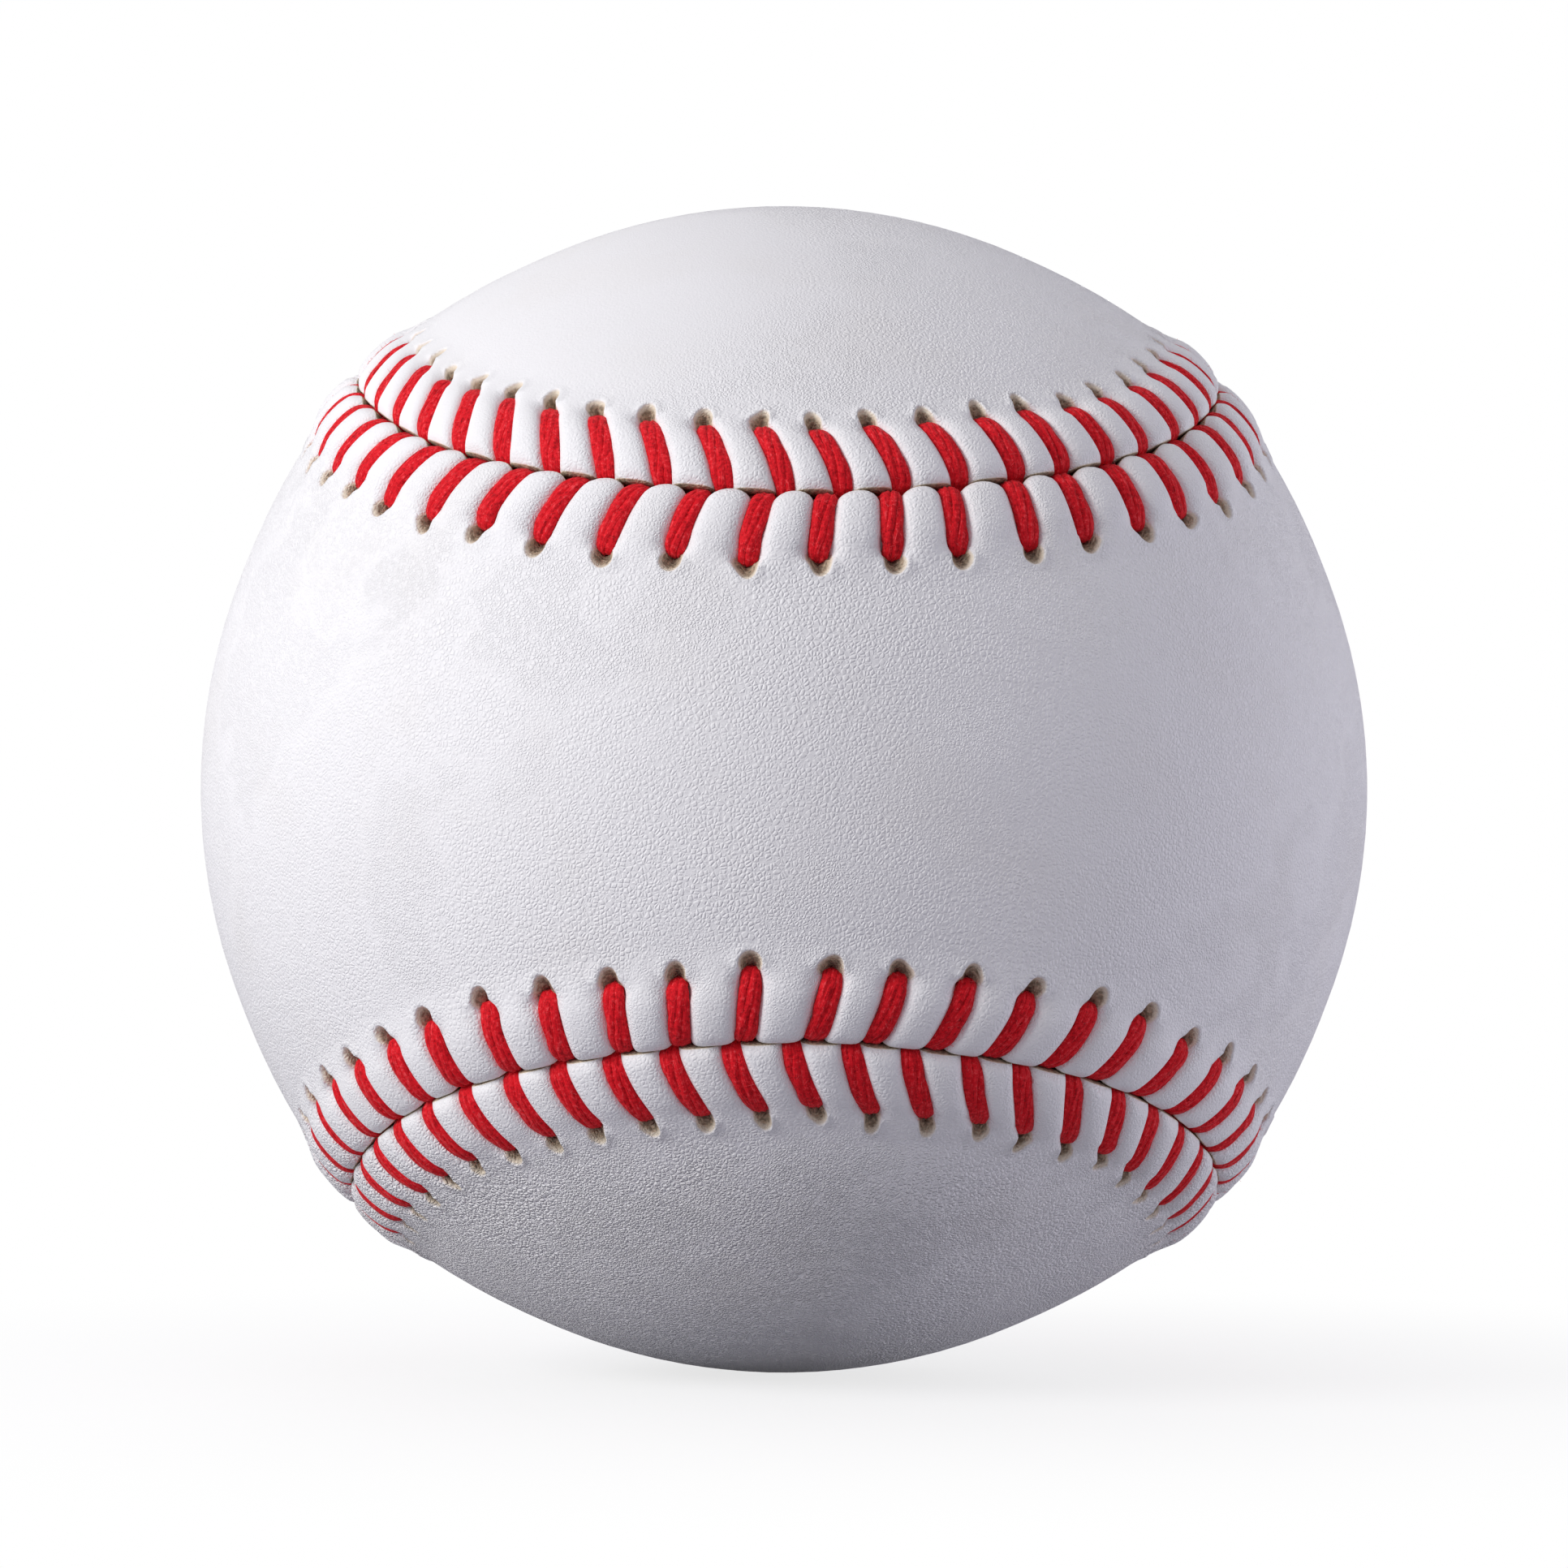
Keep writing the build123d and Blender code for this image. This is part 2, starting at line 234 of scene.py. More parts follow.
class SewingSizes(bpy.types.PropertyGroup):
    """Stitches, holes and thread"""

    stitches: IntProperty(
        name="Stitches", description="Round the whole seam, on each panel", default=108)
    hole_offset: a_length("Hole offset", "From the seam to a row of holes", 4.5)
    hole_length: a_length("Hole length", "Across the seam", 1.8)
    hole_width: a_length("Hole width", "Along the seam", 1.14)
    first: FloatProperty(
        name="First stitch", description="Pitches from the middle of the front waist", default=0.27)
    drift: FloatProperty(
        name="Drift", description="Pitches gained by the sewing half way round", default=0.35)
    back_lead: a_length("Back lead", "How far a back stitch meets the seam ahead of its hole", 1.55)
    front_lead: a_length("Front lead", "How far a front stitch meets the seam ahead of its hole", 0.6)
    back_swing: a_length("Back swing", "Change of the back lead round each bend of the seam", 1.2)
    front_swing: a_length("Front swing", "Change of the front lead round each bend of the seam", 0.65)
    thread_width: a_length("Thread width", "Of the thread where it lies on the leather", 1.42)
    thread_height: a_length("Thread height", "Of the thread where it lies on the leather", 0.84)
    valley: a_length("Valley depth", "Pressed into the leather by a thread", 0.75)
    plies: IntProperty(name="Plies", description="Twisted together in a thread", default=5)
    twist: FloatProperty(
        name="Twist", description="Turns of the plies in each metre of thread", default=80.0)
    fuzz: a_length("Fuzz length", "Of the loose fibres on the thread", 0.42)
    seed: IntProperty(name="Seed", description="Of the unevenness left by hand sewing", default=11)


class FinishColours(bpy.types.PropertyGroup):
    """Colours of what shows"""

    leather: a_colour("Leather", "Tanned white leather", (0.885, 0.88, 0.885))
    raw_leather: a_colour("Raw leather", "Cut edges and the insides of the holes", (0.56, 0.45, 0.32))
    rim: a_colour("Hole rims", "Leather that thins out to raw at a rim", (0.82, 0.74, 0.6))
    thread: a_colour("Thread", "Waxed red cotton", (0.8, 0.01, 0.02))
    floor: a_colour("Floor", "Pale studio floor", (0.38, 0.375, 0.425))


class Seam:
    """The closed line where the two panels meet, with the places beside it."""

    def __init__(self, sizes, stitches):
        self.sizes = sizes
        self.turns = np.linspace(0, 4 * math.pi, SEAM_SAMPLES + 1)
        self.directions = self.direction(self.turns)
        steps = np.linalg.norm(np.diff(self.directions, axis=0), axis=1) * BALL_RADIUS
        self.distances = np.concatenate([[0.0], np.cumsum(steps)])
        self.length = self.distances[-1]
        self.pitch = self.length / stitches

    def direction(self, turn):
        """Unit vectors from the centre to the seam; turn goes from 0 to 4 pi once round it."""
        waist_angle = self.sizes.waist / 2 / BALL_RADIUS
        polar = math.pi / 2 - (math.pi / 2 - waist_angle) * np.cos(turn)
        spin = turn / 2 + self.sizes.swell * np.sin(2 * turn) + self.sizes.squareness * np.sin(4 * turn)
        around = np.sin(polar)
        return np.stack([around * np.sin(spin), -np.cos(polar), around * np.cos(spin)], axis=-1)

    def axes(self, distance):
        """Outward, along and sideways directions at distances along the seam."""
        turn = np.interp(distance % self.length, self.distances, self.turns)
        step = 2 * math.pi / SEAM_SAMPLES
        outward = self.direction(turn)
        along = unit(self.direction(turn + step) - self.direction(turn - step))
        return outward, along, np.cross(outward, along)

    def place(self, distance, across, height):
        """Points beside the seam: across is positive on the back panel, height is above the ball."""
        outward, _, sideways = self.axes(distance)
        angle = (across / BALL_RADIUS)[..., None]
        direction = outward * np.cos(angle) + sideways * np.sin(angle)
        return direction * (BALL_RADIUS + height)[..., None]

    def offsets(self, directions):
        """Signed distance of points on the ball from the seam."""
        nearest = (directions @ self.directions.T).argmax(axis=1)
        _, _, sideways = self.axes(self.distances[nearest])
        return np.arcsin((directions * sideways).sum(axis=1)) * BALL_RADIUS


def unit(vectors):
    return vectors / np.linalg.norm(vectors, axis=-1, keepdims=True)


def smoothstep(share):
    """0 up to 0, 1 from 1 on, and a smooth rise between them."""
    share = np.clip(share, 0.0, 1.0)
    return share * share * (3 - 2 * share)


def ramp(value, start, rise):
    """0 up to the start, 1 once the rise is past."""
    return smoothstep((value - start) / rise)


def fade(distance, reach, power=2):
    """1 at no distance, falling to 0 at the reach."""
    return np.clip(1 - distance / reach, 0.0, 1.0) ** power


def bell(distance, reach):
    """1 at no distance, falling off evenly both ways."""
    return np.exp(-(distance / reach) ** 2)


class Sewing:
    """Where the stitches, pads and holes of one panel lie, and how high its leather is there."""

    def __init__(self, seam, sizes, side):
        self.seam = seam
        self.sizes = sizes
        self.side = side
        draw = np.random.default_rng(sizes.seed + side)
        self.hole_nudge = draw.normal(0.0, HOLE_NUDGE, sizes.stitches)
        self.along_nudge = draw.normal(0.0, ALONG_NUDGE, sizes.stitches)
        self.pad_swell = draw.normal(1.0, PAD_UNEVENNESS, sizes.stitches)
        self.tip_nudge = draw.uniform(0.0, TIP_NUDGE, sizes.stitches)
        self.hole_shape = draw.uniform(0.0, 2 * math.pi, (sizes.stitches, len(HOLE_WAVES)))

    def lead(self, stitch):
        """How far the thread meets the seam ahead of its hole."""
        sizes = self.sizes
        base, swing = sizes.front_lead, sizes.front_swing
        if self.side == BACK:
            base, swing = sizes.back_lead, sizes.back_swing
        return base - swing * np.sin(2 * math.pi * SEAM_BENDS * stitch / sizes.stitches)

    def lean(self, offset):
        """Share of the lead at an offset: back threads bend near their hole, front ones at the seam."""
        reach = np.clip(offset / self.sizes.hole_offset, 0.0, 1.0)
        return 1 - reach ** BACK_BEND if self.side == BACK else (1 - reach) ** FRONT_BEND

    def distance(self, stitch, phase, offset):
        """Distance along the seam of a place in a stitch's cell."""
        place = stitch + phase
        drift = self.sizes.drift * np.sin(math.pi * place / self.sizes.stitches) ** 2
        nudge = self.along_nudge[stitch] * np.cos(math.pi * phase) ** 2
        straight = self.seam.pitch * (place + self.sizes.first + drift)
        return straight + nudge + self.lead(place) * self.lean(offset)

    def thread_at(self, stitch, offset):
        """Distance along the seam of a stitch's thread at an offset."""
        return self.distance(np.array([stitch]), 0.0, np.array([offset]))[0]

    def pad_of(self, values, stitch, phase):
        """Value of the pad that a place lies on, towards its middle: a pad follows each stitch."""
        pad = (stitch + np.where(phase < 0, -1, 0)) % self.sizes.stitches
        return values[pad] * np.sin(math.pi * phase) ** 2

    def hole_share(self, phase, offset):
        """Distance from a hole's middle, where 1 is its rim."""
        along = phase * self.seam.pitch / (self.sizes.hole_width / 2)
        across = (offset - self.sizes.hole_offset) / (self.sizes.hole_length / 2)
        return np.hypot(along, across)

    def warp(self, stitch, phase, inward):
        """A place's phase and inward distance, carried along with the uneven hole that lies near."""
        along = phase * self.seam.pitch
        across = inward - self.sizes.hole_offset
        near = smoothstep((UNEVEN_REACH - self.hole_share(phase, inward)) / (UNEVEN_REACH - 1))
        angle = np.arctan2(across, along)
        waves = [
            share * np.cos(count * angle + self.hole_shape[stitch, k])
            for k, (count, share) in enumerate(HOLE_WAVES)
        ]
        stretch = 1 + near * sum(waves)
        carried = self.sizes.hole_offset + across * stretch + near * self.hole_nudge[stitch]
        return along * stretch / self.seam.pitch, carried

    def funnel(self, phase, inward):
        """The same place on the inner face, where each hole is narrower and nearer the seam."""
        hole = self.sizes.hole_offset
        clear = ramp(self.hole_share(phase, inward), 1, FUNNEL_REACH)
        scale = FUNNEL_SCALE + (1 - FUNNEL_SCALE) * clear
        return phase * scale, hole + (inward - hole) * scale - FUNNEL_SHIFT * (1 - clear)

    def tip(self, stitch, phase):
        """Offset of the leather's cut edge: pads end square, or rounder along the upper front waist."""
        from_pad = (0.5 - np.abs(phase)) * self.seam.pitch
        half_pad = self.seam.pitch / 2 - TIP_VALLEY * self.sizes.thread_width
        share = np.clip(from_pad / half_pad, 0.0, 1.0)
        power, depth = BACK_TIP_POWER, BACK_TIP_DEPTH
        if self.side == FRONT:
            turned = np.cos(2 * math.pi * (stitch + phase) / self.sizes.stitches)
            power, depth = FRONT_TIP_POWER - turned, FRONT_TIP_DEPTH + FRONT_TIP_SWING * turned
        round_end = 1 - (1 - share ** power) ** (1 / power)
        return self.seam.sizes.gap / 2 + depth * round_end + self.pad_of(self.tip_nudge, stitch, phase)

    def across(self, stitch, phase, inward):
        """Offset from the seam of a place that lies inward from the cut edge."""
        return inward + self.tip(stitch, phase) * fade(inward, TIP_BLEND)

    def arch(self, offset):
        """Height of the raised seam without its pads."""
        sizes = self.seam.sizes
        before = sizes.arch - sizes.crease * fade(offset, sizes.crest, CREASE_POWER)
        low = self.shoulder(offset)
        fall = ramp(offset, sizes.crest, sizes.foot - sizes.crest)
        return np.where(offset < sizes.crest, before, sizes.arch + (low - sizes.arch) * fall)

    def shoulder(self, offset):
        """Height of the low rise between the arch and the plain ball."""
        sizes = self.seam.sizes
        fall = ramp(offset, sizes.crest, sizes.shoulder_reach - sizes.crest)
        return sizes.shoulder * (1 - fall)

    def height(self, stitch, phase, inward):
        """Height of the outer face: pads puff up between the valleys of the threads."""
        seam_sizes = self.seam.sizes
        hole = self.sizes.hole_offset
        valley_half = VALLEY_HALF * self.sizes.thread_width
        from_thread = np.abs(phase) * self.seam.pitch
        share = np.clip((from_thread - valley_half) / (self.seam.pitch / 2 - valley_half), 0.0, 1.0)
        in_valley = smoothstep((hole + VALLEY_RUNOUT - inward) / VALLEY_FADE)
        valley = self.sizes.valley * (1 - share) ** PAD_SQUARENESS * in_valley
        on_pad = smoothstep((hole - inward) / PAD_FADE) * smoothstep(inward / PAD_RISE + PAD_EDGE)
        puff = seam_sizes.puff * self.pad_of(self.pad_swell, stitch, phase) * on_pad
        roll = seam_sizes.roll * fade(inward, ROLL_REACH)
        from_rim = self.hole_share(phase, inward) - 1
        dimple = DIMPLE_DEPTH * bell(from_rim, DIMPLE_REACH) + RIM_DEPTH * bell(from_rim, RIM_REACH)
        lip = LIP_HEIGHT * bell(from_rim - LIP_PLACE, LIP_REACH) * (inward > hole)
        return self.arch(inward) + puff - valley - roll - dimple + lip

    def underside(self, phase, inward, height):
        """Height of the inner face, clear of the thread below it and drawn up round each hole."""
        drawn_up = DRAWN_UP * smoothstep(DRAWN_REACH - self.hole_share(phase, inward))
        return np.minimum(self.arch(inward) - LEATHER + drawn_up, height - LEAST_LEATHER)


class CellLayout:
    """Triangles of one stitch's cell, as (phase, inward) places with a hole in the middle."""

    def __init__(self, sewing):
        self.sewing = sewing
        self.listed = []
        pitch = sewing.seam.pitch
        sizes = sewing.sizes
        columns = [c * MM / pitch for c in CELL_COLUMNS] + [0.5]
        columns = [-c for c in reversed(columns[1:])] + columns
        grid = [[self.add(c, r * MM) for c in columns] for r in PAD_ROWS]
        self.edge = grid[0]
        self.left = [row[0] for row in grid]
        self.right = [row[-1] for row in grid]
        for row in HOLE_ROWS:
            self.left.append(self.add(-0.5, row * MM))
            self.right.append(self.add(0.5, row * MM))
            self.add(-HOLE_ROW_PHASE, row * MM)
            self.add(HOLE_ROW_PHASE, row * MM)
        angles = [2 * math.pi * i / HOLE_SIDES for i in range(HOLE_SIDES)]
        rings = []
        for ring in HOLE_RINGS:
            rings.append([
                self.add(ring * sizes.hole_width / 2 * math.cos(a) / pitch,
                         sizes.hole_offset + ring * sizes.hole_length / 2 * math.sin(a))
                for a in angles
            ])
        self.hole = rings[0]
        for row, parts in FOOT_ROW_PARTS.items():
            self.foot = [self.add(i / parts - 0.5, row * MM) for i in range(parts + 1)]
            self.left.append(self.foot[0])
            self.right.append(self.foot[-1])
        self.places = np.array(self.listed)
        self.faces = self.triangles()

    def add(self, phase, inward):
        self.listed.append((phase, inward))
        return len(self.listed) - 1

    def triangles(self):
        """Triangles between the places, apart from those across the hole."""
        border = self.edge + self.right[1:] + self.foot[::-1][1:] + self.left[::-1][1:]
        edges = list(zip(border, border[1:]))
        edges += list(zip(self.hole, self.hole[1:] + self.hole[:1]))
        flat = [Vector((p * self.sewing.seam.pitch / MM, i / MM)) for p, i in self.places]
        faces = triangulate(flat, edges)
        middles = self.places[faces].mean(axis=1)
        return faces[self.sewing.hole_share(middles[:, 0], middles[:, 1]) > 1]


def triangulate(flat, edges):
    """Triangles between points of a plane, with these edges kept, as indices of the points."""
    merge_within, sliver = 1e-7, 1e-9
    _, _, faces, source, _, _ = delaunay_2d_cdt(flat, edges, [], 0, merge_within, True)
    original = [ids[0] for ids in source]
    triangles = np.array([[original[i] for i in face] for face in faces])
    a, b, c = (np.array([flat[i] for i in triangles[:, k]]) for k in range(3))
    turn = (b[:, 0] - a[:, 0]) * (c[:, 1] - a[:, 1]) - (b[:, 1] - a[:, 1]) * (c[:, 0] - a[:, 0])
    triangles[turn < 0] = triangles[turn < 0][:, ::-1]
    return triangles[np.abs(turn) > sliver]


class PanelMesh:
    """One leather panel as a closed mesh: a band of stitch cells, and the plain leather inside it."""

    def __init__(self, sewing):
        self.sewing = sewing
        self.layout = CellLayout(sewing)
        self.points = []
        self.faces = []
        self.raw = []
        self.grain = []
        self.count = 0
        outer, outer_foot = self.band(inner=False)
        inner, inner_foot = self.band(inner=True)
        self.wall(outer, inner, self.layout.hole, closed=True)
        self.wall(outer, inner, self.layout.edge, closed=False)
        self.field(outer_foot, inner_foot)

    def add(self, points, raw, grain):
        """Takes in points with their attributes; gives their indices."""
        start = self.count
        self.points.append(points.reshape(-1, 3))
        self.raw.append(np.broadcast_to(raw, points.shape[:-1]).ravel())
        self.grain.append(np.broadcast_to(grain, points.shape[:-1]).ravel())
        self.count += self.points[-1].shape[0]
        return np.arange(start, self.count).reshape(points.shape[:-1])

    def band(self, inner):
        """All stitch cells of one face, each joined to the next; gives the index of every place."""
        sewing, layout = self.sewing, self.layout
        stitches = sewing.sizes.stitches
        own = np.setdiff1d(np.arange(len(layout.places)), layout.right)
        stitch = np.arange(stitches)[:, None]
        phase, inward = (layout.places[own][None, :, k] for k in range(2))
        height = sewing.height(stitch, phase, inward)
        rim = RAW_RIM * bell(sewing.hole_share(phase, inward) - 1, RAW_RIM_REACH)
        raw = np.maximum(rim, RAW_CUT * fade(inward, RAW_CUT_REACH, 1))
        carried_phase, carried = sewing.warp(stitch, phase, inward)
        if inner:
            height = sewing.underside(phase, inward, height)
            raw = 1.0
            carried_phase, carried = sewing.warp(stitch, *sewing.funnel(phase, inward))
        offset = sewing.across(stitch, phase, carried)
        distance = sewing.distance(stitch, carried_phase, offset)
        points = sewing.seam.place(distance, sewing.side * offset, height)
        grain = PAD_GRAIN + (1 - PAD_GRAIN) * ramp(inward, PAD_GRAIN_FROM, PAD_GRAIN_RISE)
        index = np.zeros((stitches, len(layout.places)), int)
        index[:, own] = self.add(points, raw, grain)
        index[:, layout.right] = np.roll(index[:, layout.left], -1, axis=0)
        faces = index[:, layout.faces].reshape(-1, 3)
        upright = (sewing.side == BACK) != inner
        self.faces.append(faces if upright else faces[:, ::-1])
        return index, index[:, layout.foot[:-1]].ravel()

    def wall(self, outer, inner, line, closed):
        """Cut leather between the two faces, along a line of each cell."""
        line = line + line[:1] if closed else line
        for a, b in zip(line, line[1:]):
            quads = np.stack([outer[:, a], outer[:, b], inner[:, b], inner[:, a]], axis=1)
            if (self.sewing.side == FRONT) == closed:
                quads = quads[:, ::-1]
            self.faces.append(quads[:, [0, 1, 2]])
            self.faces.append(quads[:, [0, 2, 3]])

    def field(self, outer_foot, inner_foot):
        """Plain leather inside the band, filled with evenly spread points."""
        sewing = self.sewing
        band_width = self.layout.places[:, 1].max()
        foot = unit(np.concatenate(self.points)[outer_foot])
        spread = even_directions(int(4 * math.pi * BALL_RADIUS ** 2 / FIELD_SPACING ** 2))
        reach = sewing.seam.offsets(spread) * sewing.side
        plain = reach > band_width + FIELD_CLEAR
        spread, reach = spread[plain], reach[plain]
        directions = np.concatenate([foot, spread])
        flat = stereographic(directions, np.array([0.0, -sewing.side, 0.0]))
        ring = list(range(len(foot)))
        faces = triangulate([Vector(p) for p in flat], list(zip(ring, ring[1:] + ring[:1])))
        middles = unit(directions[faces].mean(axis=1))
        beyond_foot = sewing.seam.offsets(middles) * sewing.side > band_width
        faces = faces[beyond_foot | (faces >= len(foot)).any(axis=1)]
        a, b, c = (directions[faces[:, k]] for k in range(3))
        outward = (np.cross(b - a, c - a) * a).sum(axis=1) > 0
        faces = np.where(outward[:, None], faces, faces[:, ::-1])
        grain = 1 - FIELD_LOSS * ramp(reach, FIELD_LOSS_FROM, FIELD_LOSS_RISE)
        for radius, line, turned, raw in (
            (BALL_RADIUS, outer_foot, faces, 0.0),
            (CEMENT_RADIUS, inner_foot, faces[:, ::-1], 1.0),
        ):
            made = self.add(spread * (radius + sewing.shoulder(reach))[:, None], raw, grain)
            self.faces.append(np.concatenate([line, made])[turned])

    def build(self, name, material):
        """The panel as an object, with its raw and grain attributes."""
        mesh = bpy.data.meshes.new(name)
        points = np.concatenate(self.points)
        mesh.from_pydata(points, [], np.concatenate(self.faces).tolist())
        grain = np.concatenate(self.grain) * grain_by_place(points)
        add_attributes(mesh, {"raw": np.concatenate(self.raw), "grain": grain})
        mesh.shade_smooth()
        mesh.materials.append(material)
        return link(bpy.data.objects.new(name, mesh))


def add_attributes(mesh, columns):
    """Keeps a number or a vector for each point of a mesh, by name."""
    for name, values in columns.items():
        kind, field = ("FLOAT", "value") if values.ndim == 1 else ("FLOAT_VECTOR", "vector")
        layer = mesh.attributes.new(name, kind, "POINT")
        layer.data.foreach_set(field, values.astype(np.float32).ravel())


def grain_by_place(points):
    """Strength of the leather's grain: rubbed smooth on one spot, coarser on another low on the ball."""
    directions = unit(points)
    rubbed = ramp(directions @ RUBBED_SPOT, RUBBED_FROM, RUBBED_RISE)
    coarse = ramp(directions @ COARSE_SPOT, COARSE_FROM, COARSE_RISE)
    low = ramp(-directions[:, 2], LOW_FROM, LOW_RISE)
    return (1 - RUBBED_LOSS * rubbed) * (1 + low * (LOW_GAIN + COARSE_GAIN * coarse))


def even_directions(count):
    """Directions spread evenly over the whole ball."""
    i = np.arange(count) + 0.5
    golden = math.pi * (1 + math.sqrt(5))
    height = 1 - 2 * i / count
    around = np.sqrt(1 - height ** 2)
    return np.stack([around * np.cos(golden * i), around * np.sin(golden * i), height], axis=-1)


def stereographic(directions, pole):
    """Directions laid out on a plane, seen from the pole that they stay clear of."""
    towards = -(directions @ pole)
    return directions[:, [0, 2]] / (1 + towards)[:, None]


def link(piece):
    bpy.context.scene.collection.objects.link(piece)
    return piece


# Node trees


def connect(tree, node, links):
    """Links a node's inputs to sockets, or sets them to values."""
    for name, value in links.items():
        target = node.inputs[name]
        if isinstance(value, bpy.types.NodeSocket):
            tree.links.new(value, target)
        elif target.type == "RGBA":
            target.default_value = (*value, 1.0)
        else:
            target.default_value = value


def add_node(tree, kind, links=None, **settings):
    """A node with its settings and inputs."""
    node = tree.nodes.new(kind)
    for setting, value in settings.items():
        setattr(node, setting, value)
    connect(tree, node, links or {})
    return node


def result(tree, kind, links=None, **settings):
    """First output of such a node."""
    return add_node(tree, kind, links, **settings).outputs[0]


def add_math(tree, operation, *values):
    """Output of a math node over sockets or numbers."""
    return result(tree, "ShaderNodeMath", dict(enumerate(values)), operation=operation)


def times(tree, first, second):
    return add_math(tree, "MULTIPLY", first, second)


def plus(tree, first, second):
    return add_math(tree, "ADD", first, second)


def add_vector_math(tree, operation, links):
    return result(tree, "ShaderNodeVectorMath", links, operation=operation)


def new_geometry_tree(name, inputs):
    """A geometry tree with named inputs; gives the tree and its input sockets."""
    tree = bpy.data.node_groups.new(name, "GeometryNodeTree")
    tree.interface.new_socket("Geometry", in_out="OUTPUT", socket_type="NodeSocketGeometry")
    for label, kind in {"Geometry": "Geometry", **inputs}.items():
        tree.interface.new_socket(label, in_out="INPUT", socket_type="NodeSocket" + kind)
    return tree, tree.nodes.new("NodeGroupInput").outputs


def finish_tree(tree, geometry, material):
    """Ends a tree in plain, smooth faces with their material."""
    realized = result(tree, "GeometryNodeRealizeInstances", {"Geometry": geometry})
    smooth = result(tree, "GeometryNodeSetShadeSmooth", {"Geometry": realized})
    painted = result(tree, "GeometryNodeSetMaterial", {"Geometry": smooth, "Material": material})
    add_node(tree, "NodeGroupOutput", {"Geometry": painted})


def bake_tree(piece, tree, values):
    """Runs a tree on a piece and keeps the result as its plain mesh."""
    modifier = piece.modifiers.new(tree.name, "NODES")
    modifier.node_group = tree
    for item in tree.interface.items_tree:
        if item.in_out == "INPUT" and item.name in values:
            modifier[item.identifier] = values[item.name]
    bpy.context.view_layer.update()
    evaluated = piece.evaluated_get(bpy.context.evaluated_depsgraph_get())
    mesh = bpy.data.meshes.new_from_object(evaluated)
    piece.modifiers.remove(modifier)
    mesh.name = piece.name
    piece.data = mesh


def named(tree, name, kind):
    return result(tree, "GeometryNodeInputNamedAttribute", {"Name": name}, data_type=kind)


def store(tree, geometry, name, value, kind):
    """Keeps a value for each point of a geometry, for its material."""
    links = {"Geometry": geometry, "Name": name, "Value": value}
    return result(tree, "GeometryNodeStoreNamedAttribute", links, data_type=kind, domain="POINT")


def tube(tree, curve, section):
    links = {"Curve": curve, "Profile Curve": section, "Fill Caps": True}
    return result(tree, "GeometryNodeCurveToMesh", links)


def thread_tree(material):
    """Plies twisted round a path into one flat thread."""
    tree, given = new_geometry_tree("Twisted thread", {
        "Plies": "Int", "Width": "Float", "Height": "Float", "Ply radius": "Float", "Twist": "Float",
        "Wander": "Float"})
    curve = result(tree, "GeometryNodeMeshToCurve", {"Mesh": given["Geometry"]})
    rounded = result(tree, "GeometryNodeCurveSplineType", {"Curve": curve}, spline_type="CATMULL_ROM")
    fine = result(tree, "GeometryNodeSetSplineResolution", {"Geometry": rounded, "Resolution": PLY_STEPS})
    sampled = result(tree, "GeometryNodeResampleCurve", {"Curve": fine}, mode="EVALUATED")
    copies = add_node(
        tree, "GeometryNodeDuplicateElements", {"Geometry": sampled, "Amount": given["Plies"]},
        domain="SPLINE")
    run = add_node(tree, "GeometryNodeSplineParameter").outputs["Length"]
    share = add_math(tree, "DIVIDE", copies.outputs["Duplicate Index"], given["Plies"])
    walk = result(tree, "ShaderNodeCombineXYZ", {
        "X": times(tree, run, WANDER_PACE), "Y": times(tree, share, WANDER_APART)})
    wander = add_node(tree, "ShaderNodeTexNoise", {"Vector": walk, "Scale": 1.0}).outputs["Fac"]
    turns = plus(tree, times(tree, run, given["Twist"]), share)
    turns = plus(tree, turns, times(tree, wander, given["Wander"]))
    angle = times(tree, turns, 2 * math.pi)
    spread = named(tree, "spread", "FLOAT")
    sway = []
    for operation, size, axis in (("COSINE", "Width", "across"), ("SINE", "Height", "up")):
        half = add_math(tree, "SUBTRACT", add_math(tree, "DIVIDE", given[size], 2), given["Ply radius"])
        reach = times(tree, times(tree, add_math(tree, operation, angle), half), spread)
        sway.append(add_vector_math(tree, "SCALE", {0: named(tree, axis, "FLOAT_VECTOR"), "Scale": reach}))
    offset = add_vector_math(tree, "ADD", dict(enumerate(sway)))
    moved = result(tree, "GeometryNodeSetPosition", {"Geometry": copies.outputs[0], "Offset": offset})
    own_run = plus(tree, run, times(tree, share, PLY_RUN_APART))
    marked = store(tree, moved, "run", own_run, "FLOAT")
    section = result(
        tree, "GeometryNodeCurvePrimitiveCircle", {"Resolution": PLY_SIDES, "Radius": given["Ply radius"]})
    girth = store(tree, section, "girth", result(tree, "GeometryNodeInputPosition"), "FLOAT_VECTOR")
    finish_tree(tree, tube(tree, marked, girth), material)
    return tree


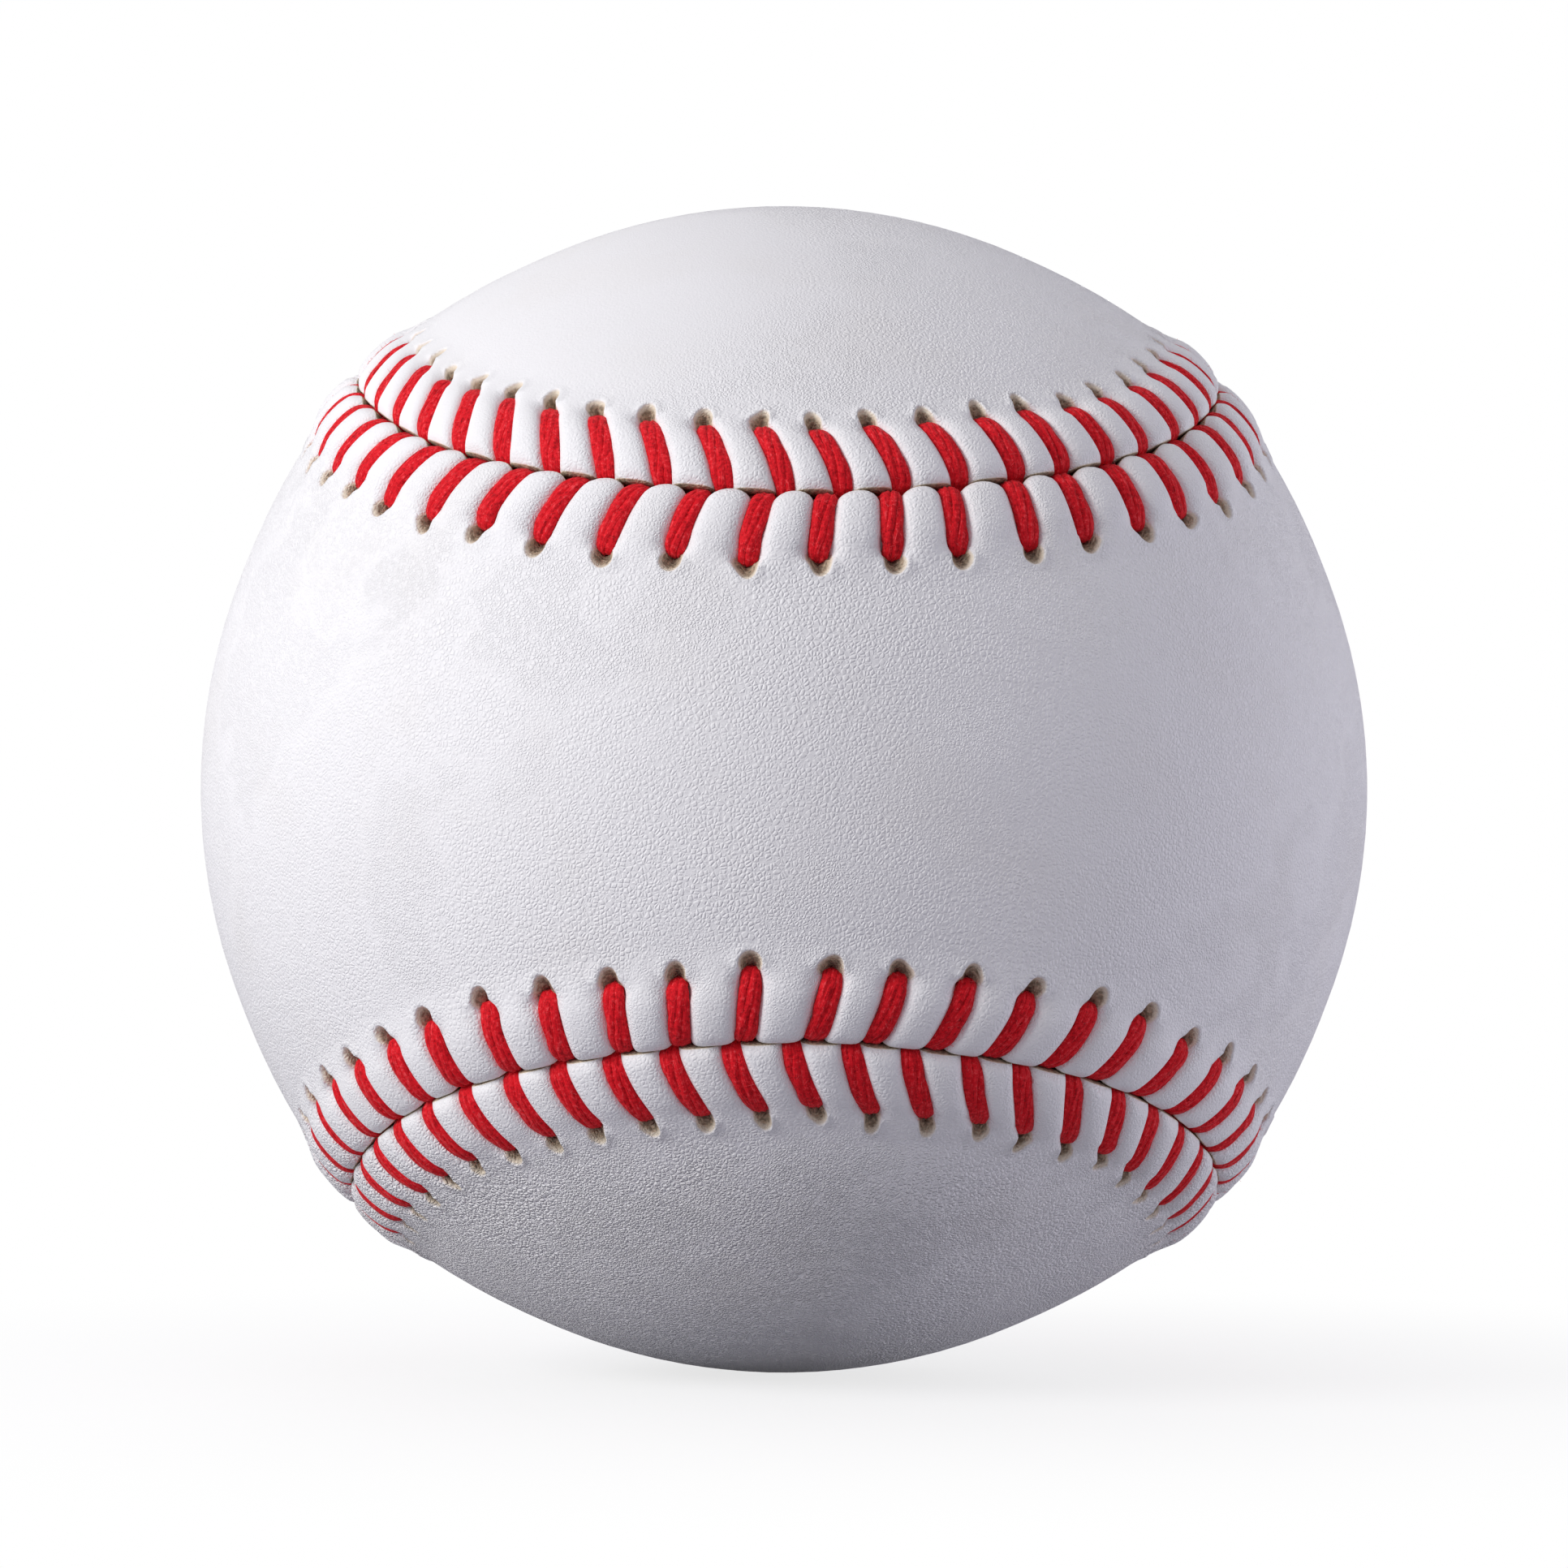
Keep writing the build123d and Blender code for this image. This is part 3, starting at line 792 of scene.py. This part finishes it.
def fuzz_tree(material):
    """Loose fibres standing on the part of a thread that shows."""
    tree, given = new_geometry_tree("Thread fuzz", {
        "Density": "Float", "Length": "Float", "Thickness": "Float", "Seed": "Int"})
    outward = add_vector_math(tree, "NORMALIZE", {0: result(tree, "GeometryNodeInputPosition")})
    facing = add_node(
        tree, "ShaderNodeVectorMath", {0: outward, 1: result(tree, "GeometryNodeInputNormal")},
        operation="DOT_PRODUCT").outputs["Value"]
    shown = times(tree, add_math(tree, "GREATER_THAN", facing, FUZZ_FACING), named(tree, "shown", "FLOAT"))
    spread = add_node(
        tree, "GeometryNodeDistributePointsOnFaces",
        {"Mesh": given["Geometry"], "Density": times(tree, given["Density"], shown), "Seed": given["Seed"]})
    hair = result(tree, "GeometryNodeCurveQuadraticBezier", {
        "Resolution": FIBRE_STEPS, "Start": (0.0, 0.0, 0.0), "Middle": FUZZ_BEND, "End": FUZZ_END})
    section = result(
        tree, "GeometryNodeCurvePrimitiveCircle", {"Resolution": FIBRE_SIDES, "Radius": given["Thickness"]})
    tilts = {"Max": (FUZZ_TILT, FUZZ_TILT, 2 * math.pi), "Seed": given["Seed"]}
    tilt = result(tree, "FunctionNodeRandomValue", tilts, data_type="FLOAT_VECTOR")
    turned = result(
        tree, "FunctionNodeRotateRotation",
        {"Rotation": spread.outputs["Rotation"],
         "Rotate By": result(tree, "FunctionNodeEulerToRotation", {0: tilt})},
        rotation_space="LOCAL")
    lengths = {"Min": FUZZ_LEAST, "Max": 1.0, "Seed": given["Seed"]}
    sized = add_node(tree, "FunctionNodeRandomValue", lengths, data_type="FLOAT")
    scale = times(tree, [socket for socket in sized.outputs if socket.enabled][0], given["Length"])
    placed = result(
        tree, "GeometryNodeInstanceOnPoints",
        {"Points": spread.outputs["Points"], "Instance": tube(tree, hair, section),
         "Rotation": turned, "Scale": scale})
    finish_tree(tree, placed, material)
    return tree


# Materials


def new_material(name):
    """An empty node material; gives the material, its tree and its surface shader."""
    material = bpy.data.materials.new(name)
    material.use_nodes = True
    material.cycles.use_bump_map_correction = False
    tree = material.node_tree
    return material, tree, tree.nodes["Principled BSDF"]


def object_coordinates(tree):
    return add_node(tree, "ShaderNodeTexCoord").outputs["Object"]


def attribute(tree, name, output="Fac"):
    return add_node(tree, "ShaderNodeAttribute", attribute_name=name).outputs[output]


def noise(tree, vector, scale, detail=3.0, roughness=0.55):
    links = {"Vector": vector, "Scale": scale, "Detail": detail, "Roughness": roughness}
    return add_node(tree, "ShaderNodeTexNoise", links).outputs["Fac"]


def remap(tree, value, low, high, to_low=0.0, to_high=1.0):
    """A value's smooth step from one range to another."""
    links = {"Value": value, "From Min": low, "From Max": high, "To Min": to_low, "To Max": to_high}
    return result(tree, "ShaderNodeMapRange", links, interpolation_type="SMOOTHSTEP")


def mix_colour(tree, factor, first, second):
    """Colour between two others, which are inputs 6 and 7 of a mix node that gives output 2."""
    links = {0: factor, 6: first, 7: second}
    return add_node(tree, "ShaderNodeMix", links, data_type="RGBA").outputs[2]


def bump(tree, height, depth, links=None):
    links = {"Height": height, "Distance": depth, "Strength": 1.0, **(links or {})}
    return result(tree, "ShaderNodeBump", links)


def shaded(colour, share):
    return [share * c for c in colour]


def pebbles(tree, scale):
    """Soft packed pebbles, drawn out along a diagonal, with faint creases between them."""
    drawn = result(
        tree, "ShaderNodeMapping",
        {"Vector": object_coordinates(tree), "Rotation": (0.0, PEBBLE_TURN, 0.0),
         "Scale": (1.0, 1.0, PEBBLE_STRETCH)},
        vector_type="TEXTURE")
    links = {"Vector": drawn, "Scale": scale}
    crease = add_node(tree, "ShaderNodeTexVoronoi", links, feature="DISTANCE_TO_EDGE").outputs["Distance"]
    soft = remap(tree, noise(tree, drawn, 0.85 * scale, 0.0), 0.3, 0.7, 0.0, 0.15)
    return plus(tree, soft, remap(tree, crease, 0.0, 0.32, 0.0, 0.9))


def leather_material(colours):
    """White leather: large and small pebbles in patches, by the grain attribute, raw where it is cut."""
    material, tree, shader = new_material("white_leather")
    place = object_coordinates(tree)
    patches = noise(tree, place, PATCHES)
    large = times(tree, pebbles(tree, LARGE_PEBBLES), remap(tree, patches, 0.42, 0.52))
    small = times(tree, pebbles(tree, SMALL_PEBBLES), remap(tree, patches, 0.42, 0.52, 1.0, 0.0))
    coarse = times(tree, plus(tree, large, small), attribute(tree, "grain"))
    height = plus(tree, coarse, times(tree, noise(tree, place, PORES), 0.3))
    waves = bump(tree, noise(tree, place, WAVES, 1.0), WAVE_DEPTH)
    stain = remap(tree, noise(tree, place, STAINS, 4.0), 0.45, 0.75)
    aged = [c * k for c, k in zip(colours.leather, (0.98, 0.975, 0.965))]
    toned = mix_colour(tree, stain, colours.leather, aged)
    mottle = remap(tree, noise(tree, place, MOTTLE), 0.38, 0.62)
    inside = mix_colour(tree, mottle, colours.raw_leather, shaded(colours.raw_leather, 0.5))
    raw = attribute(tree, "raw")
    rim = mix_colour(tree, remap(tree, raw, 0.05, 0.4), toned, colours.rim)
    connect(tree, shader, {
        "Base Color": mix_colour(tree, remap(tree, raw, 0.4, 0.55), rim, inside),
        "Normal": bump(tree, height, PEBBLE_DEPTH, {"Normal": waves}),
        "Roughness": remap(tree, height, 0.1, 1.2, 0.6, 0.46),
        "Specular IOR Level": 0.35})
    return material


def thread_material(colours):
    """Waxed red cotton: fibres run along each ply; the colour carries painted shade where the fibre bump is
    low and painted highlights on its high specks.
    """
    material, tree, shader = new_material("red_thread")
    across = add_vector_math(tree, "SCALE", {0: attribute(tree, "girth", "Vector"), "Scale": FIBRES_ACROSS})
    along = result(tree, "ShaderNodeCombineXYZ", {"Z": times(tree, attribute(tree, "run"), FIBRES_ALONG)})
    fibres = noise(tree, add_vector_math(tree, "ADD", {0: across, 1: along}), 1.0, 4.0, 0.65)
    specks = noise(tree, object_coordinates(tree), SPECKS, 3.0, 0.65)
    shade = plus(tree, times(tree, fibres, 0.45), times(tree, specks, 0.55))
    # Painted highlight: a paler red for the high specks of the fibre bump
    painted_highlight = [min(1.0, 1.2 * c + 0.07) for c in colours.thread]
    # Painted shade: the red darkens to half where the fibre bump is low
    shaded_body = mix_colour(tree, remap(tree, shade, 0.36, 0.52), shaded(colours.thread, 0.5), colours.thread)
    connect(tree, shader, {
        "Base Color": mix_colour(tree, remap(tree, shade, 0.53, 0.64), shaded_body, painted_highlight),
        "Normal": bump(tree, shade, FIBRE_DEPTH),
        "Roughness": remap(tree, specks, 0.3, 0.7, 0.7, 0.5),
        "Specular IOR Level": 0.1,
        "Sheen Weight": 0.16,
        "Sheen Roughness": 0.4,
        "Sheen Tint": (1.0, 0.4, 0.4)})
    return material


def fuzz_material(colours):
    """Loose fibres of the same cotton, with patches of painted highlight: a paler red for the light that
    thin fibres catch.
    """
    material, tree, shader = new_material("red_fuzz")
    # Painted highlight: noise patches where the loose fibres are painted a paler red
    highlight_patches = remap(tree, noise(tree, object_coordinates(tree), FUZZ_HIGHLIGHT_PATCHES), 0.35, 0.65)
    painted_highlight = [min(1.0, c + 0.16) for c in colours.thread]
    connect(tree, shader, {
        "Base Color": mix_colour(tree, highlight_patches, colours.thread, painted_highlight),
        "Roughness": 0.75,
        "Specular IOR Level": 0.15})
    return material


def cork_material():
    """Pressed cork granules with dark pores."""
    material, tree, shader = new_material("cork")
    place = object_coordinates(tree)
    cells = add_node(tree, "ShaderNodeTexVoronoi", {"Vector": place, "Scale": GRANULES})
    tone = result(tree, "ShaderNodeSeparateColor", {"Color": cells.outputs["Color"]})
    granules = mix_colour(tree, tone, CORK_DARK, CORK_PALE)
    pores = remap(tree, noise(tree, place, CORK_PORES), 0.6, 0.7)
    connect(tree, shader, {
        "Base Color": mix_colour(tree, pores, granules, CORK_PORE),
        "Normal": bump(tree, cells.outputs["Distance"], GRANULE_DEPTH),
        "Roughness": 0.85})
    return material


def rubber_material(name, colour):
    """Moulded rubber with a dusty bloom."""
    material, tree, shader = new_material(name)
    place = object_coordinates(tree)
    bloom = remap(tree, noise(tree, place, BLOOM, 4.0), 0.4, 0.75)
    connect(tree, shader, {
        "Base Color": mix_colour(tree, bloom, colour, [c + 0.05 for c in colour]),
        "Normal": bump(tree, noise(tree, place, MOULD_GRAIN), MOULD_DEPTH),
        "Roughness": remap(tree, bloom, 0.0, 1.0, 0.5, 0.72)})
    return material


def yarn_material(name, colour, strands):
    """Wound yarn: strands that cross in two directions over the ball, with painted shade darkening the low
    places between them.
    """
    material, tree, shader = new_material(name)
    place = object_coordinates(tree)
    layers = []
    for turn in ((0.4, 0.2, 0.9), (-0.7, 0.5, 0.1)):
        turned = result(tree, "ShaderNodeMapping", {"Vector": place, "Rotation": turn})
        links = {"Vector": turned, "Scale": strands, "Distortion": 1.2, "Detail": 2.0}
        layers.append(add_node(tree, "ShaderNodeTexWave", links).outputs["Fac"])
    top = add_math(tree, "MAXIMUM", layers[0], times(tree, layers[1], 0.9))
    height = plus(tree, top, times(tree, noise(tree, place, FLUFF), 0.4))
    connect(tree, shader, {
        # Painted shade: the colour darkens to under half where the strands' bump height is low
        "Base Color": mix_colour(tree, remap(tree, height, 0.3, 1.1), shaded(colour, 0.45), colour),
        "Normal": bump(tree, height, STRAND_DEPTH),
        "Roughness": 0.9,
        "Sheen Weight": 0.3})
    return material


def cement_material():
    """Dried cement brushed over the yarn, with the yarn's ridges showing through."""
    material, tree, shader = new_material("cement")
    place = object_coordinates(tree)
    brushed = remap(tree, noise(tree, place, BRUSH_MARKS, 4.0), 0.35, 0.65)
    ridges = add_node(tree, "ShaderNodeTexWave", {"Vector": place, "Scale": RIDGES, "Distortion": 2.0})
    connect(tree, shader, {
        "Base Color": mix_colour(tree, brushed, CEMENT_THIN, CEMENT_THICK),
        "Normal": bump(tree, ridges.outputs["Fac"], RIDGE_DEPTH),
        "Roughness": 0.6})
    return material


def seen_directly(tree):
    """1 for what the camera sees straight, in gloss or through glass."""
    path = add_node(tree, "ShaderNodeLightPath")
    straight = add_math(tree, "MAXIMUM", path.outputs["Is Camera Ray"], path.outputs["Is Glossy Ray"])
    return add_math(tree, "MAXIMUM", straight, path.outputs["Is Transmission Ray"])


def floor_material(colour):
    """Pale floor that fades to white for the camera, and keeps the ball's soft shadow."""
    material, tree, shader = new_material("pale_floor")
    place = object_coordinates(tree)
    seen = seen_directly(tree)
    speckle = mix_colour(tree, noise(tree, place, FLOOR_SPECKLE), colour, shaded(colour, 1.02))
    connect(tree, shader, {
        "Base Color": mix_colour(tree, seen, speckle, WHITE), "Roughness": 0.9, "Specular IOR Level": 0.1})
    flat = add_vector_math(tree, "MULTIPLY", {0: place, 1: (1.0, 1.0, 0.0)})
    away = add_node(tree, "ShaderNodeVectorMath", {0: flat}, operation="LENGTH").outputs["Value"]
    white = remap(tree, away, 0.5 * BALL_RADIUS, 2.4 * BALL_RADIUS, 0.75, 1.0)
    glow = result(tree, "ShaderNodeEmission", {"Color": WHITE, "Strength": 1.0})
    surface = result(
        tree, "ShaderNodeMixShader", {0: times(tree, white, seen), 1: shader.outputs[0], 2: glow})
    connect(tree, tree.nodes["Material Output"], {"Surface": surface})
    return material


# Stitch paths


def stitch_path(sewing, other, stitch):
    """Points of one stitch: under the leather, up its hole, over the pad and down into the seam."""
    sizes = sewing.sizes
    half = sizes.thread_height / 2
    under = half - LEATHER + THREAD_CLEAR
    hole = sizes.hole_offset + sewing.hole_nudge[stitch] - THREAD_DRAWN
    enter = other.thread_at(stitch - 1, 0.0)
    inside = sewing.thread_at(stitch, hole)
    dive = sewing.thread_at(stitch, 0.0)
    # Each point: distance along the seam, offset from it, height, share of the width, share that shows
    points = [
        (enter, 0.9 * MM, under, 0.8, 0.0),
        ((enter + inside) / 2, hole / 2, under, 0.8, 0.0),
        (inside, hole - 0.5 * MM, under, 0.75, 0.0),
        (inside, hole + 0.1 * MM, under + 0.55 * MM, 0.7, 0.0),
        (inside, hole - 0.02 * MM, 0.1 * MM, 0.8, 0.6),
    ]
    for offset, lift in OVER_PAD:
        offset = offset * MM
        floor = sewing.height(np.array([stitch]), np.array([0.0]), np.array([offset]))[0]
        points.append((sewing.thread_at(stitch, offset), offset, floor + lift * half, 1.0, 1.0))
    points.append((dive, 0.42 * MM, 0.12 * MM, 0.9, 0.7))
    points.append((dive, 0.1 * MM, -0.5 * MM, 0.75, 0.0))
    distance, offset, height, spread, shown = (np.array(v) for v in zip(*points))
    places = sewing.seam.place(distance, sewing.side * offset, height)
    _, along, _ = sewing.seam.axes(distance)
    return places, along, spread, shown


def thread_line(name, first_side, sewings):
    """Path of one needle's thread, with the directions that its flat section follows."""
    side = first_side
    paths = []
    for stitch in range(sewings[side].sizes.stitches):
        paths.append(stitch_path(sewings[side], sewings[-side], stitch))
        side = -side
    places, along, spread, shown = (np.concatenate(parts) for parts in zip(*paths))
    run = unit(np.gradient(places, axis=0))
    across = unit(along - run * (along * run).sum(axis=1, keepdims=True))
    mesh = bpy.data.meshes.new(name)
    ends = range(len(places))
    mesh.from_pydata(places, list(zip(ends, ends[1:])), [])
    add_attributes(mesh, {"across": across, "up": np.cross(run, across), "spread": spread, "shown": shown})
    return link(bpy.data.objects.new(name, mesh))


def sewings_of(scene):
    """The seam's two panels, by side."""
    seam = Seam(scene.ball_seam, scene.ball_sewing.stitches)
    return {side: Sewing(seam, scene.ball_sewing, side) for side in (FRONT, BACK)}


class BALL_OT_cover_panels(bpy.types.Operator):
    """Make the two leather panels, with their pads and holes"""

    bl_idname = "ball.cover_panels"
    bl_label = "Leather panels"

    def execute(self, context):
        material = leather_material(context.scene.ball_colours)
        for side, sewing in sewings_of(context.scene).items():
            piece = PanelMesh(sewing).build(PANELS[side] + "_leather", material)
            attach(piece, "root")
            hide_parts(PANELS[side])
        return {"FINISHED"}


class BALL_OT_stitch_threads(bpy.types.Operator):
    """Sew the two red threads and raise their loose fibres"""

    bl_idname = "ball.stitch_threads"
    bl_label = "Stitch threads"

    def execute(self, context):
        sizes = context.scene.ball_sewing
        sewings = sewings_of(context.scene)
        twisted = thread_tree(thread_material(context.scene.ball_colours))
        fluffy = fuzz_tree(fuzz_material(context.scene.ball_colours))
        for first_side, node in THREADS.items():
            thread = thread_line(node + "_twisted", first_side, sewings)
            bake_tree(thread, twisted, {
                "Plies": sizes.plies, "Width": sizes.thread_width, "Height": sizes.thread_height,
                "Ply radius": PLY_RADIUS * sizes.thread_height, "Twist": sizes.twist,
                "Wander": PLY_WANDER})
            fuzz = link(bpy.data.objects.new(node + "_fuzz", thread.data.copy()))
            bake_tree(fuzz, fluffy, {
                "Density": FUZZ_DENSITY, "Length": sizes.fuzz, "Thickness": FUZZ_THICKNESS,
                "Seed": sizes.seed})
            for piece in (thread, fuzz):
                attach(piece, "root")
            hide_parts(node)
        return {"FINISHED"}


class BALL_OT_core_finishes(bpy.types.Operator):
    """Give the cork, rubber, yarn and cement inside the ball their finishes"""

    bl_idname = "ball.core_finishes"
    bl_label = "Core finishes"

    def execute(self, context):
        red = rubber_material("red_rubber", RED_RUBBER)
        black = rubber_material("black_rubber", BLACK_RUBBER)
        grey = yarn_material("grey_wool", GREY_WOOL, WOOL_STRANDS)
        finishes = {
            "cork_centre": cork_material(),
            "black_rubber_half_upper": black,
            "black_rubber_half_lower": black,
            "red_rubber_washer": red,
            "red_rubber_half_right": red,
            "red_rubber_half_left": red,
            "grey_wool_winding_inner": grey,
            "white_wool_winding": yarn_material("white_wool", WHITE_WOOL, WOOL_STRANDS),
            "grey_wool_winding_outer": grey,
            "cotton_winding": yarn_material("cotton", COTTON, COTTON_STRANDS),
            "cement_coat": cement_material(),
        }
        for node, material in finishes.items():
            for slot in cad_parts[node].material_slots:
                slot.material = material
        return {"FINISHED"}


class BALL_OT_stage(bpy.types.Operator):
    """Set up the floor, the soft lights, the white surroundings and the camera"""

    bl_idname = "ball.stage"
    bl_label = "Studio"

    def execute(self, context):
        scene = context.scene
        scene.view_settings.view_transform = "Standard"
        build_floor(scene.ball_colours)
        build_lights()
        build_world(scene)
        build_camera(scene)
        return {"FINISHED"}


def build_floor(colours):
    mesh = bpy.data.meshes.new("floor")
    corners = [(x * FLOOR_REACH, y * FLOOR_REACH) for x, y in ((-1, -1), (1, -1), (1, 1), (-1, 1))]
    mesh.from_pydata([(x, y, CAD_BOX[0][2]) for x, y in corners], [], [(0, 1, 2, 3)])
    mesh.materials.append(floor_material(colours.floor))
    floor = link(bpy.data.objects.new("floor", mesh))


def aim(item, place, target):
    """Puts a lamp or camera at a place and points it at the target."""
    direction = Vector(target) - Vector(place)
    turn = direction.to_track_quat("-Z", "Y").to_matrix().to_4x4()
    item.matrix_world = Matrix.Translation(place) @ turn


def around_ball(azimuth, elevation, distance):
    """Place round the ball: azimuth 0 is in front, at -Y, and 90 is on the right."""
    a, e = math.radians(azimuth), math.radians(elevation)
    return Vector((math.sin(a) * math.cos(e), -math.cos(a) * math.cos(e), math.sin(e))) * distance


def build_lights():
    for name, (azimuth, elevation, distance, size, level, tint) in LAMPS.items():
        lamp = bpy.data.lights.new(name, "AREA")
        lamp.shape = "DISK"
        lamp.size = size * BALL_RADIUS
        lamp.energy = level * (math.pi * distance * BALL_RADIUS) ** 2
        lamp.color = tint
        item = link(bpy.data.objects.new(name, lamp))
        aim(item, around_ball(azimuth, elevation, distance * BALL_RADIUS), (0, 0, 0))


def build_world(scene):
    """Soft white surroundings: plain white to the camera and in reflections, dimmer as light."""
    world = bpy.data.worlds.new("studio")
    scene.world = world
    world.use_nodes = True
    tree = world.node_tree
    seen = seen_directly(tree)
    levels = {"Value": seen, "To Min": AMBIENT_LEVEL, "To Max": 1.0}
    connect(tree, tree.nodes["Background"], {
        "Strength": result(tree, "ShaderNodeMapRange", levels),
        "Color": mix_colour(tree, seen, AMBIENT_COLOUR, WHITE)})


def build_camera(scene):
    camera = bpy.data.cameras.new("camera")
    camera.sensor_width = SENSOR_WIDTH
    camera.lens = CAMERA_LENS
    item = link(bpy.data.objects.new("camera", camera))
    aim(item, around_ball(*CAMERA_PLACE), CAMERA_TARGET)
    item.matrix_world = item.matrix_world @ Matrix.Rotation(CAMERA_ROLL, 4, "Z")
    scene.camera = item


class BALL_PT_tools(bpy.types.Panel):
    """Lists the steps that dress the ball"""

    bl_label = "Baseball"
    bl_idname = "BALL_PT_tools"
    bl_space_type = "VIEW_3D"
    bl_region_type = "UI"
    bl_category = "Baseball"

    def draw(self, context):
        for operator in OPERATORS:
            self.layout.operator(operator.bl_idname)
        for group in (context.scene.ball_seam, context.scene.ball_sewing, context.scene.ball_colours):
            box = self.layout.box()
            for name in group.bl_rna.properties.keys():
                if name not in ("rna_type", "name"):
                    box.prop(group, name)


OPERATORS = (BALL_OT_cover_panels, BALL_OT_stitch_threads, BALL_OT_core_finishes, BALL_OT_stage)
GROUPS = {"ball_seam": SeamSizes, "ball_sewing": SewingSizes, "ball_colours": FinishColours}


def register():
    for kind in (*GROUPS.values(), *OPERATORS, BALL_PT_tools):
        bpy.utils.register_class(kind)
    for name, group in GROUPS.items():
        setattr(bpy.types.Scene, name, PointerProperty(type=group))


def unregister():
    for name in GROUPS:
        delattr(bpy.types.Scene, name)
    for kind in reversed((*GROUPS.values(), *OPERATORS, BALL_PT_tools)):
        bpy.utils.unregister_class(kind)


def main():
    register()
    bpy.ops.ball.cover_panels()
    bpy.ops.ball.stitch_threads()
    bpy.ops.ball.core_finishes()
    bpy.ops.ball.stage()


if __name__ == "__main__":
    main()
